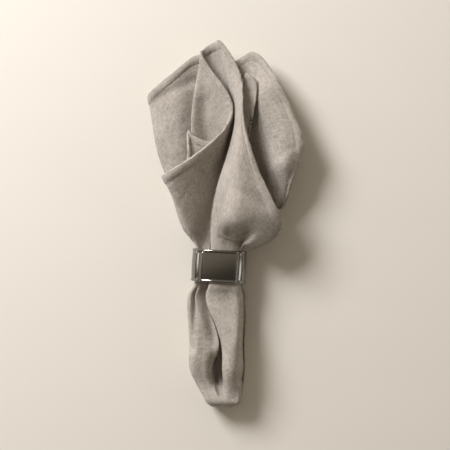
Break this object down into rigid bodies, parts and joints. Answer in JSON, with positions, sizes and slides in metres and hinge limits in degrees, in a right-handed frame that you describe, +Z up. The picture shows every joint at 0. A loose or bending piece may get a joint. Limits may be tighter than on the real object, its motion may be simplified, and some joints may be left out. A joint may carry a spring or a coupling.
{
  "type": "linen napkin in a ring",
  "caption": "Square linen napkin picked up near its middle, drawn through a polished metal ring and fanned out above it, lying on a table",
  "frame": {"origin": "on the table, under the middle of the box round the whole part", "axes": "+Y runs from the tail below the ring to the fan above it, +Z up from the table, +X across the napkin"},
  "size_m": [0.1263, 0.2951, 0.0505],
  "materials": {
    "linen": "matte plain weave",
    "pewter": "polished"
  },
  "bodies": {
    "root": {"napkin": "linen", "ring": "pewter"}
  },
  "joints": []
}
